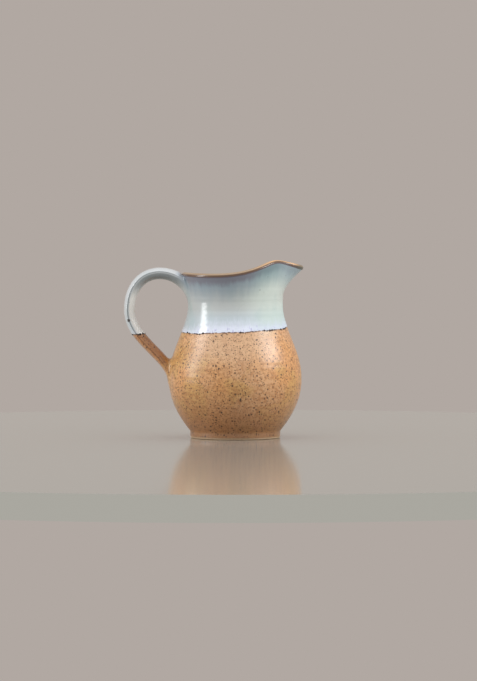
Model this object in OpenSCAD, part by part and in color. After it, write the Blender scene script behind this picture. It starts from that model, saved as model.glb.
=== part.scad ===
// Stoneware table jug: a thrown, round-bellied body with a pulled spout, a pulled strap handle
// joined on with slip, and the fired glaze coats as thin solids of their own.
// The origin is on the jug's axis at the plane it stands on. +Z is up, and +X points out of the spout.

/* [Body] */
// Diameter of the foot
foot_d = 84; // [72:1:96]
// Height of the straight band above the table
foot_band = 6.5; // [4:0.5:10]
// Rise from the foot band to the widest part of the belly
belly_rise = 47.5; // [38:0.5:58]
// Widest diameter of the belly, over the glaze
belly_d = 123.6; // [112:0.4:136]
// Rise from the widest part of the belly to the narrowest part of the neck
shoulder_rise = 70.5; // [60:0.5:82]
// Narrowest diameter of the neck, over the glaze
waist_d = 88.6; // [78:0.4:98]
// Rise from the narrowest part of the neck to where the spout begins
throat_rise = 9.5; // [7:0.5:13]
// Thickness of the thrown wall
wall = 4.2; // [3:0.1:6]
// Thickness of the floor
floor_t = 6.5; // [4.5:0.5:9]
// Radius of the curve between the floor and the wall inside
floor_curve = 14; // [8:1:18]
// Width of the foot ring that the jug stands on
foot_ring = 6.5; // [4:0.5:9]
// Depth of the hollow turned inside the foot ring
foot_hollow = 3; // [1.5:0.5:4.5]
// Bevel round the foot's outer edge
foot_bevel = 0.8; // [0.4:0.1:1.5]

/* [Rim and spout] */
// Diameter of the mouth, over the glaze
mouth_d = 99.2; // [92:0.4:110]
// Rise from where the spout begins to the lowest part of the rim
rim_rise = 17.3; // [14:0.1:22]
// How much higher the rim is at the handle
back_rise = 2.1; // [0:0.1:4]
// How far the rim is pulled up towards the spout
pull_up = 28.2; // [20:0.2:34]
// How far the spout's tip is turned down again
turn_down = 20.4; // [14:0.2:24]
// How far the spout stands out beyond the round mouth
spout_reach = 13; // [9:0.5:17]
// How far the rim is pinched in on each side of the spout
spout_pinch = 1.6; // [0:0.2:3]

/* [Handle] */
// Clear width between the neck and the inside of the handle
finger_gap = 49.5; // [40:0.5:58]
// Height of the handle's outermost point above the widest part of the belly
handle_out_rise = 64.8; // [56:0.2:72]
// Depth below the rim at which the handle's centre line enters the neck
root_drop = 12; // [10:0.2:14]
// Angle at which the handle climbs away from the neck
root_angle = 40; // [30:1:50]
// How far the handle's upper end reaches back into the neck before it is trimmed
root_depth = 8; // [6:0.5:12]
// How far the handle keeps its first direction
root_pull = 35.7; // [30:0.5:40]
// How far the handle bulges out above its outermost point
upper_pull = 33.5; // [28:0.5:38]
// How far the handle hangs straight below its outermost point
lower_pull = 27; // [22:0.5:32]
// How far the tail follows the wall before it leaves it
tail_pull = 20.2; // [16:0.2:24]
// Height of the tail's end above the widest part of the belly
tail_rise = 1; // [0:0.2:4]
// How far the tail's end stands proud of the belly's glaze
tail_proud = 1.2; // [0.8:0.1:2.5]
// Angle of the tail's end above the horizontal
tail_angle = 85; // [78:1:90]
// Thickness of the handle at its upper root
handle_t_root = 10.6; // [9:0.1:13]
// Thickness of the handle at its tail
handle_t_tail = 8.8; // [7:0.1:11]
// Width of the handle at its upper root
handle_w_root = 23; // [19:0.5:28]
// Width of the handle at its tail
handle_w_tail = 17; // [14:0.5:21]
// How much the upper root thickens on its underside into the neck
root_flare = 2.7; // [1:0.1:4]
// How much the upper root widens into the neck
root_spread = 6; // [2:0.5:9]
// How much the tail widens where it is pressed on to the belly
tail_spread = 6; // [2:0.5:9]
// Height of the handle's domed back at its upper root
dome_root = 4; // [2:0.2:5]
// Height of the handle's domed back at its tail
dome_tail = 1.8; // [1:0.2:3]
// Thickness of the slip that joins the handle to the wall
slip_t = 0.6; // [0.4:0.1:1]

/* [Glaze] */
// Thickness of every fired coat of glaze
glaze_t = 0.4; // [0.3:0.05:0.6]
// Height of the dip line on the jug's axis
dip_h = 101.2; // [88:0.2:114]
// Tilt of the dip line, up towards the spout
dip_tilt_side = 2.65; // [0:0.05:5]
// Tilt of the dip line, down towards the right-hand side of the handle
dip_tilt_front = 2.4; // [0:0.05:5]
// Height of the bare clay that is wiped clean round the foot
bare_foot = 1.8; // [1.2:0.1:3.5]
// Width of the brown band over the lip
lip_band = 2.6; // [1.6:0.1:4]

/* [Hidden] */

// Heights and radii that follow from the sizes above
foot_r = foot_d / 2;
belly_r = belly_d / 2;
waist_r = waist_d / 2;
mouth_r = mouth_d / 2;
belly_z = foot_band + belly_rise;
waist_z = belly_z + shoulder_rise;
throat_z = waist_z + throat_rise;
rim_low_z = throat_z + rim_rise;
floor_z = foot_hollow + floor_t;
ring_in_r = foot_r - foot_ring;
lip_r = wall / 2 + glaze_t;

// Depths below the glazed surface of the clay's faces and of the liner's face
clay_out = glaze_t;
clay_in = glaze_t + wall;
liner_in = clay_in + glaze_t;

// Shape of the curves, as plain numbers
shoulder_lean_share = 1.08;
pull_up_power = 4;
turn_down_power = 14;
back_power = 6;
nose_power = 30;
pinch_power = 12;
push_power = 1.6;
side_power_share = 0.72;
root_share = 0.12;
tail_share = 0.2;

// How finely the curves are divided
bend_steps = 6;
belly_steps = 9;
shoulder_steps = 16;
throat_steps = 2;
collar_steps = 6;
lip_steps = 4;
half_columns = 26;
column_power = 1.2;
arm_steps = 10;
dome_steps = 4;
side_steps = 9;
turn_fn = 96;

// The collar's lowest ring stands this far inside the turned neck, so that no two edges touch
seam_inset = 0.02;
// Least height between two points of an outline
least_step = 0.5;
// Inner edge of the solid that stands for the back of the collar
core_r = foot_r / 2;
// Size of the half-space below the dip line
half_space = 4 * (belly_d + finger_gap);

// Glazed radius of the round part of the jug at height z
function belly_radius(z) = belly_r - (belly_r - foot_r) * pow((belly_z - z) / belly_rise, 2);
function shoulder_fall(u) = (1 + cos(180 * pow(u, shoulder_lean_share))) / 2;
function shoulder_radius(z) =
    waist_r + (belly_r - waist_r) * shoulder_fall((z - belly_z) / shoulder_rise);
function flare_radius(z) =
    waist_r + (mouth_r - waist_r) * pow((z - waist_z) / (rim_low_z - waist_z), 2);
function round_radius(z) =
    z <= foot_band ? foot_r
    : z < belly_z ? belly_radius(z)
    : z < waist_z ? shoulder_radius(z)
    : flare_radius(z);

// Heights of the rings of the turned wall, from z upwards to the throat
outline_z = concat(
    [for (i = [0:belly_steps - 1]) foot_band + belly_rise * i / belly_steps],
    [for (i = [0:shoulder_steps - 1]) belly_z + shoulder_rise * i / shoulder_steps],
    [for (i = [0:throat_steps]) waist_z + throat_rise * i / throat_steps]
);

// Points of the turned wall at a depth below its glazed surface, upwards from height low
function wall_line(depth, low) = concat(
    [[round_radius(low) - depth, low]],
    [for (z = outline_z) if (z > low + least_step) [round_radius(z) - depth, z]]
);

// Hollow of the clay: along the floor from the axis, round the floor's curve and up the wall
function floor_bend(f) =
    let (z = floor_z + floor_curve * (1 - cos(f)))
    [round_radius(z) - clay_in - floor_curve * (1 - sin(f)), z];
cavity = concat(
    [[0, floor_z]],
    [for (i = [0:bend_steps]) floor_bend(90 * i / bend_steps)],
    [for (z = outline_z) if (z > floor_z + floor_curve + least_step) [round_radius(z) - clay_in, z]]
);
// A line moved to its left by a depth, level at its first point and straight across at its last
function line_left(line, i) =
    i == 0 ? [0, 1]
    : i == len(line) - 1 ? [-1, 0]
    : let (d = line[i + 1] - line[i - 1]) [-d[1], d[0]] / norm(d);
function inset_line(line, depth) =
    [for (i = [0:len(line) - 1]) line[i] + depth * line_left(line, i)];

// Collar: everything above the throat, where the rim rises and the spout leaves the round
throat_r = flare_radius(throat_z);
throat_slope = 2 * (mouth_r - waist_r) * throat_rise / pow(rim_low_z - waist_z, 2);

function lift(a) = (1 + cos(a)) / 2;
function rim_z(a) = rim_low_z + pull_up * pow(lift(a), pull_up_power)
    - turn_down * pow(lift(a), turn_down_power) + back_rise * pow(1 - lift(a), back_power);
function collar_h(a) = rim_z(a) - lip_r - throat_z;
function pinch(a) = 4 * pow(lift(a), pinch_power) * (1 - pow(lift(a), pinch_power));
function push(a) = spout_reach * pow(lift(a), nose_power) - spout_pinch * pinch(a);
function flare_rest(a) = mouth_r - throat_r - throat_slope * collar_h(a);
function collar_radius(a, u) = throat_r + throat_slope * collar_h(a) * u
    + flare_rest(a) * pow(u, 2) + push(a) * pow(u, push_power) - seam_inset * (1 - u);
function collar_lean(a, u) = u * atan(throat_slope
    + (2 * flare_rest(a) * u + push_power * push(a) * pow(u, push_power - 1)) / collar_h(a));

// A point of the collar at angle a and share u of its height, at a depth below the glazed surface
function around(a, r, z) = [r * cos(a), r * sin(a), z];
function collar_point(a, u, depth) = around(a,
    collar_radius(a, u) - depth * cos(collar_lean(a, u)),
    throat_z + collar_h(a) * u + depth * sin(collar_lean(a, u)));
// A point of the rounded lip, f degrees over the top from the outside
function lip_point(a, f, r) = let (b = collar_lean(a, 1)) around(a,
    collar_radius(a, 1) - lip_r * cos(b) + r * cos(f - b),
    throat_z + collar_h(a) + lip_r * sin(b) + r * sin(f - b));

function band_u(a) = 1 - lip_band / collar_h(a);
function collar_us(a) = [for (i = [0:collar_steps]) band_u(a) * i / collar_steps];
function flip(list) = [for (i = [len(list) - 1:-1:0]) list[i]];
function coat_up(a, depth) = [for (u = collar_us(a)) collar_point(a, u, depth)];
function lip_over(a, r, from, to) =
    [for (i = [0:lip_steps]) lip_point(a, from + (to - from) * i / lip_steps, r)];
column_angles = [for (j = [-half_columns:half_columns - 1])
    sign(j) * 180 * pow(abs(j) / half_columns, column_power)];

// Closed section loops of the collar's solids at angle a
function clay_loop(a) = concat(coat_up(a, clay_out), lip_over(a, wall / 2, 0, 180),
    flip(coat_up(a, clay_in)));
function coat_loop(a, outer, inner) = concat(coat_up(a, outer), flip(coat_up(a, inner)));
function lip_loop(a) = concat([collar_point(a, band_u(a), 0)], lip_over(a, lip_r, 0, 180),
    [collar_point(a, band_u(a), liner_in), collar_point(a, band_u(a), clay_in)],
    lip_over(a, wall / 2, 180, 0), [collar_point(a, band_u(a), clay_out)]);

// A ring made of equal section loops, one for each column. Each four-sided patch is cut from its
// lower to its upper side the same way round, so that coats and clay share the same facets
module loop_ring(loops) {
    n = len(loops);
    m = len(loops[0]);
    polyhedron(
        points = [for (l = loops) each l],
        faces = [for (j = [0:n - 1], i = [0:m - 1])
            let (k = (j + 1) % n, q = (i + 1) % m)
            let (a = j * m + i, b = j * m + q, c = k * m + q, d = k * m + i)
            each (loops[j][q][2] > loops[j][i][2] ? [[a, b, c], [a, c, d]] : [[a, b, d], [b, c, d]])]
    );
}

// A closed skin through equal rings of points, with a flat face on its first and last ring
module ring_skin(rings) {
    n = len(rings);
    m = len(rings[0]);
    polyhedron(
        points = [for (r = rings) each r],
        faces = concat(
            [[for (i = [m - 1:-1:0]) i]],
            [[for (i = [0:m - 1]) (n - 1) * m + i]],
            [for (j = [0:n - 2], i = [0:m - 1])
                let (q = (i + 1) % m)
                each [[j * m + i, (j + 1) * m + q, (j + 1) * m + i],
                    [j * m + i, j * m + q, (j + 1) * m + q]]]
        )
    );
}

// The back half of the jug's collar as a solid that leaves out the core on the axis
back_angles = concat([for (a = column_angles) if (a > 90) a],
    [for (a = column_angles) if (a < -90) a + 360]);
module solid_collar(depth) {
    ring_skin([for (a = back_angles) concat(
        [around(a, core_r, throat_z)],
        coat_up(a, depth),
        lip_over(a, lip_r - depth, 0, 90),
        [around(a, core_r, rim_low_z)]
    )]);
}

// The turned part of the jug without its hollow
module solid_wall(depth) {
    rotate_extrude($fn = turn_fn)
        polygon(concat([[0, 0]], wall_line(depth, 0), [[0, throat_z]]));
}

// The jug without its hollow, out to a depth below the glazed surface, with its collar or without
module solid_jug(depth, collar = true) {
    solid_wall(depth);
    if (collar) solid_collar(depth);
}

// Handle: its centre line as distance out from the axis and height
root_at = [waist_r - wall / 2, rim_low_z + back_rise - root_drop];
root_way = [cos(root_angle), sin(root_angle)];
out_at = [waist_r + finger_gap + (handle_t_root + handle_t_tail) / 4, belly_z + handle_out_rise];
tail_at = [belly_r + tail_proud - handle_t_tail / 2, belly_z + tail_rise];
tail_way = [-cos(tail_angle), -sin(tail_angle)];
upper_curve = [root_at, root_at + root_pull * root_way, out_at + [0, upper_pull], out_at];
lower_curve = [out_at, out_at - [0, lower_pull], tail_at - tail_pull * tail_way, tail_at];

function bend(p, t) = pow(1 - t, 3) * p[0] + 3 * t * pow(1 - t, 2) * p[1]
    + 3 * pow(t, 2) * (1 - t) * p[2] + pow(t, 3) * p[3];
function bend_way(p, t) = let (d = pow(1 - t, 2) * (p[1] - p[0])
    + 2 * t * (1 - t) * (p[2] - p[1]) + pow(t, 2) * (p[3] - p[2])) d / norm(d);

// Share of the handle's length within its root or its tail, from 1 at the end to 0
function near_root(s) = pow(max(0, 1 - s / root_share), 2);
function near_tail(s) = pow(max(0, 1 - (1 - s) / tail_share), 2);
function arm_t(s) = handle_t_root + (handle_t_tail - handle_t_root) * s;
function arm_flare(s) = root_flare * near_root(s);
function arm_w(s) = handle_w_root + (handle_w_tail - handle_w_root) * s
    + root_spread * near_root(s) + tail_spread * near_tail(s);
function arm_dome(s) = dome_root + (dome_tail - dome_root) * s;

// Section of the strap: a domed back that stands out from the centre line by back, two crisp edges,
// and a rounder inside that stands out the other way by front
function strap(w, back, front, dome) = concat(
    [for (i = [0:dome_steps]) let (x = 1 - 2 * i / dome_steps)
        [x * w / 2, back - dome * pow(x, 2)]],
    [for (i = [1:side_steps]) let (f = 180 * i / (side_steps + 1))
        [-sign(cos(f)) * pow(abs(cos(f)), side_power_share) * w / 2,
            back - dome - (back + front - dome) * pow(sin(f), side_power_share)]]
);
// A ring of the handle at a place on its centre line, grown outwards by a coat
function arm_ring(at, way, s, grow) =
    let (half = arm_t(s) / 2 + grow)
    [for (p = strap(arm_w(s) + 2 * grow, half, half + arm_flare(s), arm_dome(s)))
        [-(at[0] - p[1] * way[1]), p[0], at[1] + p[1] * way[0]]];

module arm(grow) {
    steps = 2 * arm_steps;
    ring_skin(concat(
        [arm_ring(root_at - root_depth * root_way, root_way, 0, grow)],
        [for (i = [0:arm_steps - 1])
            let (t = i / arm_steps)
            arm_ring(bend(upper_curve, t), bend_way(upper_curve, t), i / steps, grow)],
        [for (i = [0:arm_steps - 1])
            let (t = i / arm_steps)
            arm_ring(bend(lower_curve, t), bend_way(lower_curve, t), (i + arm_steps) / steps, grow)],
        [arm_ring(tail_at + grow * tail_way, tail_way, 1, grow)]
    ));
}

// What of the handle, grown by a coat, stands outside the jug's clay. The collar is left out
// where only the handle's lower part is wanted
module arm_outside(grow, collar = true) {
    difference() {
        arm(grow);
        solid_jug(clay_out, collar);
    }
}

// The place that the jug's outside coats leave for the handle and its coat: the coated handle, cut
// off in the middle of the clay wall
module handle_seat() {
    top = rim_low_z + back_rise + wall;
    difference() {
        arm(glaze_t);
        rotate_extrude($fn = turn_fn)
            polygon(concat([[0, belly_z]], wall_line(lip_r, belly_z),
                [[mouth_r - lip_r, rim_low_z], [mouth_r - lip_r, top], [0, top]]));
    }
}

// Everything below the tilted plane to which the jug was dipped, mouth down, in the pale glaze
module below_dip() {
    translate([0, 0, dip_h])
        rotate([dip_tilt_front, -dip_tilt_side, 0])
            translate([-half_space / 2, -half_space / 2, -half_space])
                cube(half_space);
}

// The outside coat of the turned wall, from the wiped foot up to the throat
module turned_coat() {
    rotate_extrude($fn = turn_fn)
        polygon(concat(wall_line(0, bare_foot), flip(wall_line(clay_out, bare_foot))));
}

module body() {
    foot = foot_r - clay_out;
    color("tan") {
        rotate_extrude($fn = turn_fn)
            polygon(concat(
                [[0, foot_hollow], [ring_in_r, foot_hollow], [ring_in_r, 0]],
                [[foot - foot_bevel, 0]],
                wall_line(clay_out, foot_bevel),
                flip(cavity)
            ));
        loop_ring([for (a = column_angles) clay_loop(a)]);
    }
}

module handle() {
    color("burlywood")
        difference() {
            arm(0);
            solid_jug(clay_out - slip_t);
        }
}

// The pad of slip between the wall and the handle's upper or lower end
module slip_pad(upper) {
    intersection() {
        arm_outside(0, upper);
        solid_jug(clay_out - slip_t, upper);
        translate([-half_space / 2, -half_space / 2, out_at[1] - (upper ? 0 : half_space)])
            cube(half_space);
    }
}
module upper_slip() {
    color("peru") slip_pad(true);
}
module lower_slip() {
    color("peru") slip_pad(false);
}

module belly_glaze() {
    color("sandybrown")
        difference() {
            intersection() {
                turned_coat();
                below_dip();
            }
            arm(glaze_t);
        }
}

module neck_glaze() {
    color("lightsteelblue")
        difference() {
            union() {
                difference() {
                    turned_coat();
                    below_dip();
                }
                loop_ring([for (a = column_angles) coat_loop(a, 0, clay_out)]);
            }
            handle_seat();
        }
}

module lip_glaze() {
    color("saddlebrown")
        difference() {
            loop_ring([for (a = column_angles) lip_loop(a)]);
            handle_seat();
        }
}

module liner_glaze() {
    color("aliceblue") {
        rotate_extrude($fn = turn_fn)
            polygon(concat(cavity, flip(inset_line(cavity, glaze_t))));
        loop_ring([for (a = column_angles) coat_loop(a, clay_in, liner_in)]);
    }
}

// The handle's coat, whole
module arm_coat(collar = true) {
    difference() {
        arm_outside(glaze_t, collar);
        arm(0);
    }
}
module handle_neck_glaze() {
    color("lightsteelblue")
        difference() {
            arm_coat();
            below_dip();
        }
}
module handle_belly_glaze() {
    color("sandybrown")
        intersection() {
            arm_coat(false);
            below_dip();
        }
}

body();
handle();
upper_slip();
lower_slip();
belly_glaze();
neck_glaze();
lip_glaze();
liner_glaze();
handle_neck_glaze();
handle_belly_glaze();
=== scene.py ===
import math

import bpy
import numpy as np
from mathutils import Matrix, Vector


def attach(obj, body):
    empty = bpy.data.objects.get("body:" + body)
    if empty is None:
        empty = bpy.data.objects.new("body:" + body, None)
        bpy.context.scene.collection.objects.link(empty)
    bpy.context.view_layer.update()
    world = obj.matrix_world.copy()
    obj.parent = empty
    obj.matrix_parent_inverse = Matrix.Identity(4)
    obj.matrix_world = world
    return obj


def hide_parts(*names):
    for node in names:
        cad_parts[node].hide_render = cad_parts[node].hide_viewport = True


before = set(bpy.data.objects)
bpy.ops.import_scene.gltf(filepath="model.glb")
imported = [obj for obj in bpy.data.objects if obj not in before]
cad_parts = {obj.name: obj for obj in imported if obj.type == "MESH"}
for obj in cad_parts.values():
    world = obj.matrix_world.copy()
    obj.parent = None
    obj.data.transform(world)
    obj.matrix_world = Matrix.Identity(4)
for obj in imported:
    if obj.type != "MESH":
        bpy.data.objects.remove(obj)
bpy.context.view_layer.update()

# The thrown body: one piece of coarse stoneware clay, turned to a foot ring and a shallow hollow
# below, with a rounded lip whose front was pulled out and turned down into the spout. Fired, it
# shows bare only under the foot, where the glaze was wiped off.
MM = 0.001
FOOT_R = 42.0
FOOT_BAND = 6.5
BELLY_R = 61.8
BELLY_Z = 54.0
WAIST_R = 44.3
WAIST_Z = 124.5
THROAT_Z = 134.0
MOUTH_R = 49.6
RIM_Z = 151.3
WALL_T = 4.2
GLAZE_T = 0.4
FLOOR_Z = 9.5
FLOOR_CURVE = 14.0
RING_W = 6.5
HOLLOW_Z = 3.0
HOLLOW_ROUND = 1.5
FOOT_ROUND = 0.9
CAP_R = 0.4
LIP_R = WALL_T / 2 + GLAZE_T
CLAY_OUT = GLAZE_T
CLAY_IN = GLAZE_T + WALL_T
SHOULDER_LEAN_SHARE = 1.08
PULL_UP, PULL_UP_POWER = 28.2, 4
TURN_DOWN, TURN_DOWN_POWER = 20.4, 14
BACK_RISE, BACK_POWER = 2.1, 6
SPOUT_REACH, NOSE_POWER = 13.0, 30
SPOUT_PINCH, PINCH_POWER = 1.6, 12
PUSH_POWER = 1.6
CLAY_COLUMNS = 240
SPOUT_CROWD = 1.15
WALL_ROWS, COLLAR_ROWS, LIP_ROWS = 84, 15, 15
CURVE_ROWS, INSIDE_ROWS, FLOOR_ROWS = 12, 70, 7


def round_radius(z):
    """Glazed radius of the round part of the jug at height z."""
    belly = BELLY_R - (BELLY_R - FOOT_R) * ((BELLY_Z - z) / (BELLY_Z - FOOT_BAND)) ** 2
    rise = np.clip((z - BELLY_Z) / (WAIST_Z - BELLY_Z), 0, 1) ** SHOULDER_LEAN_SHARE
    shoulder = WAIST_R + (BELLY_R - WAIST_R) * (1 + np.cos(np.pi * rise)) / 2
    flare = WAIST_R + (MOUTH_R - WAIST_R) * ((z - WAIST_Z) / (RIM_Z - WAIST_Z)) ** 2
    upper = np.where(z < WAIST_Z, shoulder, flare)
    return np.where(z <= FOOT_BAND, FOOT_R, np.where(z < BELLY_Z, belly, upper))


def lift(a):
    """How near angle a is to the spout: 1 at the spout, 0 at the handle."""
    return (1 + np.cos(a)) / 2


def rim_height(a):
    """Height of the glazed lip's top, pulled up at the spout and turned down at its tip."""
    return (RIM_Z + PULL_UP * lift(a) ** PULL_UP_POWER - TURN_DOWN * lift(a) ** TURN_DOWN_POWER
            + BACK_RISE * (1 - lift(a)) ** BACK_POWER)


def collar_height(a):
    """How tall the collar stands over the throat, up to the middle of the lip's round."""
    return rim_height(a) - LIP_R - THROAT_Z


def collar(a, u):
    """Radius of the collar at angle a and share u of its height, and how it leans outwards."""
    throat_r = WAIST_R + (MOUTH_R - WAIST_R) * ((THROAT_Z - WAIST_Z) / (RIM_Z - WAIST_Z)) ** 2
    slope = 2 * (MOUTH_R - WAIST_R) * (THROAT_Z - WAIST_Z) / (RIM_Z - WAIST_Z) ** 2
    tall = collar_height(a)
    rest = MOUTH_R - throat_r - slope * tall
    pinch = 4 * lift(a) ** PINCH_POWER * (1 - lift(a) ** PINCH_POWER)
    push = SPOUT_REACH * lift(a) ** NOSE_POWER - SPOUT_PINCH * pinch
    radius = throat_r + slope * tall * u + rest * u ** 2 + push * u ** PUSH_POWER
    lean = u * np.arctan(slope + (2 * rest * u + PUSH_POWER * push * u ** (PUSH_POWER - 1)) / tall)
    return radius, lean


def ring_point(a, r, z):
    """Points at angles a, radii r and heights z."""
    return np.stack(np.broadcast_arrays(r * np.cos(a), r * np.sin(a), z), -1)


def wall(a, z, depth):
    """Points of the wall at angles a and heights z, at a depth below its glazed face."""
    u = np.clip((z - THROAT_Z) / collar_height(a), 0, 1)
    radius, lean = collar(a, u)
    low = z <= THROAT_Z
    r = np.where(low, round_radius(z) - depth, radius - depth * np.cos(lean))
    return ring_point(a, r, np.where(low, z, z + depth * np.sin(lean)))


def lip(a, f, r):
    """Points of the rounded lip, f radians over the top from the outside."""
    radius, lean = collar(a, np.ones_like(a))
    return ring_point(a, radius - LIP_R * np.cos(lean) + r * np.cos(f - lean),
                      THROAT_Z + collar_height(a) + LIP_R * np.sin(lean) + r * np.sin(f - lean))


def columns(count):
    """Angles round the jug, closer together at the spout, as a column of their own."""
    share = np.arange(-count // 2, count // 2) / (count / 2)
    return (np.sign(share) * np.abs(share) ** SPOUT_CROWD * np.pi)[:, None]


def skin(name, points, capped=False, sharp=(), values=None):
    """A closed mesh from points[column, row], in mm, joined round both ways, or capped by its end rows.

    Sharp names the rows whose edges stay crisp, and values are carried by the mesh at each point.
    """
    n, m = points.shape[:2]
    place = points.reshape(-1, 3) * MM
    j, i = np.meshgrid(np.arange(n), np.arange(m - 1 if capped else m), indexing="ij")
    j, i = j.ravel(), i.ravel()
    k, q = (j + 1) % n, (i + 1) % m
    faces = np.stack([j * m + i, k * m + i, k * m + q, j * m + q], -1).tolist()
    if capped:
        faces += [[c * m for c in range(n - 1, -1, -1)], [c * m + m - 1 for c in range(n)]]
    mesh = bpy.data.meshes.new(name)
    mesh.from_pydata(place.tolist(), [], faces)
    for key, carried in (values or {}).items():
        mesh.attributes.new(key, "FLOAT", "POINT").data.foreach_set(
            "value", np.broadcast_to(carried, (n, m)).astype(np.float32).ravel())
    mesh.update()
    piece = bpy.data.objects.new(name, mesh)
    bpy.context.scene.collection.objects.link(piece)
    mesh.shade_smooth()
    if sharp:
        ends = np.zeros(len(mesh.edges) * 2, np.int64)
        mesh.edges.foreach_get("vertices", ends)
        ends = ends.reshape(-1, 2)
        crisp = (ends[:, 0] % m == ends[:, 1] % m) & np.isin(ends[:, 0] % m, sharp)
        mesh.attributes.new("sharp_edge", "BOOLEAN", "EDGE").data.foreach_set("value", crisp)
    return piece


def material(name, roughness, coat=0.0, coat_roughness=0.1):
    """A new material with its Principled shader, whose plain settings stay on the shader itself."""
    new = bpy.data.materials.new(name)
    new.use_nodes = True
    shader = new.node_tree.nodes["Principled BSDF"]
    shader.inputs["Roughness"].default_value = roughness
    shader.inputs["Coat Weight"].default_value = coat
    shader.inputs["Coat Roughness"].default_value = coat_roughness
    return new, new.node_tree, shader


def add(tree, kind, **given):
    """Adds a node, and sets its settings and inputs by name, or by number as i0, i1 and so on.

    A value that is another node's output is linked to the input.
    """
    node = tree.nodes.new(kind)
    for key, value in given.items():
        if hasattr(node, key):
            setattr(node, key, value)
            continue
        at = int(key[1:]) if key[0] == "i" and key[1:].isdigit() else key.replace("_", " ")
        socket = node.inputs[at]
        if isinstance(value, bpy.types.NodeSocket):
            tree.links.new(value, socket)
        else:
            socket.default_value = value
    return node


def tone(red, green, blue):
    """A colour as it looks in a picture, 0 to 255, as the linear values that a shader takes."""
    share = [c / 255 for c in (red, green, blue)]
    return tuple(c / 12.92 if c <= 0.04045 else ((c + 0.055) / 1.055) ** 2.4 for c in share) + (1.0,)


def blend(tree, amount, under, over):
    """Lays one colour over another by an amount."""
    mix = tree.nodes.new("ShaderNodeMix")
    mix.data_type = "RGBA"
    for socket, value in ((mix.inputs[0], amount), (mix.inputs[6], under), (mix.inputs[7], over)):
        if isinstance(value, bpy.types.NodeSocket):
            tree.links.new(value, socket)
        else:
            socket.default_value = value
    return mix.outputs[2]


def ramp(tree, value, low, high, to_low=0.0, to_high=1.0):
    """A value eased from one range to another."""
    return add(tree, "ShaderNodeMapRange", interpolation_type="SMOOTHSTEP", i0=value,
               i1=low, i2=high, i3=to_low, i4=to_high).outputs[0]


def object_place(tree, stretch=(1, 1, 1)):
    """Object coordinates, in metres, drawn out along an axis where a stretch is under 1."""
    place = tree.nodes.new("ShaderNodeTexCoord").outputs["Object"]
    return add(tree, "ShaderNodeMapping", Vector=place, Scale=stretch).outputs[0]


def noise(tree, place, scale, detail=3.0, roughness=0.5):
    """A cloudy value, finer as the scale grows."""
    return add(tree, "ShaderNodeTexNoise", Vector=place, Scale=scale, Detail=detail,
               Roughness=roughness).outputs[0]


def surface(tree, shader, colour, strength, distance, height):
    """Gives a finish its colour, and its bumps from a height that changes over it."""
    bump = add(tree, "ShaderNodeBump", Strength=strength, Distance=distance, Height=height)
    tree.links.new(colour, shader.inputs["Base Color"])
    tree.links.new(bump.outputs[0], shader.inputs["Normal"])


def new_group(name, takes, gives, tree_kind="ShaderNodeTree"):
    """An empty node group with named inputs and outputs."""
    group = bpy.data.node_groups.new(name, tree_kind)
    for label, kind, value in takes:
        socket = group.interface.new_socket(label, in_out="INPUT", socket_type=kind)
        if value is not None:
            socket.default_value = value
    for label, kind in gives:
        group.interface.new_socket(label, in_out="OUTPUT", socket_type=kind)
    start = group.nodes.new("NodeGroupInput").outputs
    return group, start, group.nodes.new("NodeGroupOutput").inputs


# grain: fine and coarse roughness of fired clay, as a height and a mask of pits
grain, grain_in, grain_out = new_group(
    "grain", [("Size", "NodeSocketFloat", 900.0)],
    [("Height", "NodeSocketFloat"), ("Pits", "NodeSocketFloat")])
grain_place = object_place(grain)
grain.links.new(noise(grain, grain_place, grain_in["Size"], 5, 0.65), grain_out["Height"])
pits = add(grain, "ShaderNodeTexVoronoi", Vector=grain_place, Scale=grain_in["Size"]).outputs["Distance"]
grain.links.new(ramp(grain, pits, 0.1, 0.34, 1, 0), grain_out["Pits"])

clay, clay_tree, clay_shader = material("bare_stoneware", 0.78)
clay_grain = add(clay_tree, "ShaderNodeGroup", node_tree=grain, Size=1100.0)
clay_cloud = noise(clay_tree, object_place(clay_tree), 60, 4)
clay_base = blend(clay_tree, clay_cloud, tone(188, 156, 122), tone(205, 178, 146))
clay_base = blend(clay_tree, clay_grain.outputs["Pits"], clay_base, tone(120, 84, 56))
surface(clay_tree, clay_shader, clay_base, 0.5, 0.0002, clay_grain.outputs["Height"])

around = columns(CLAY_COLUMNS)
quarter = np.linspace(0, np.pi / 2, 5)
ring_out = FOOT_R - CLAY_OUT
ring_in = FOOT_R - RING_W
under = [(r, HOLLOW_Z) for r in (CAP_R, 8, 16, 24, 30, 33)]
under += [(ring_in - HOLLOW_ROUND * (1 - np.sin(q)), HOLLOW_Z - HOLLOW_ROUND * (1 - np.cos(q)))
          for q in quarter]
under += [(ring_in + FOOT_ROUND * (1 - np.cos(q)), FOOT_ROUND * (1 - np.sin(q))) for q in quarter]
under += [(ring_in + RING_W / 2, 0.0)]
under += [(ring_out - FOOT_ROUND * (1 - np.sin(q)), FOOT_ROUND * (1 - np.cos(q))) for q in quarter]
under = np.array(under)
up = np.linspace(FOOT_BAND, THROAT_Z, WALL_ROWS)
up_share = np.linspace(0, 1, COLLAR_ROWS + 1)[1:]
over = np.linspace(0, np.pi, LIP_ROWS + 2)[1:-1]
bend = np.linspace(np.pi / 2, 0, CURVE_ROWS)
bend_z = FLOOR_Z + FLOOR_CURVE * (1 - np.cos(bend))
bend_r = round_radius(bend_z) - CLAY_IN - FLOOR_CURVE * (1 - np.sin(bend))
inside = np.linspace(THROAT_Z, FLOOR_Z + FLOOR_CURVE + 1, INSIDE_ROWS)
collar_z = THROAT_Z + collar_height(around) * up_share
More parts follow.
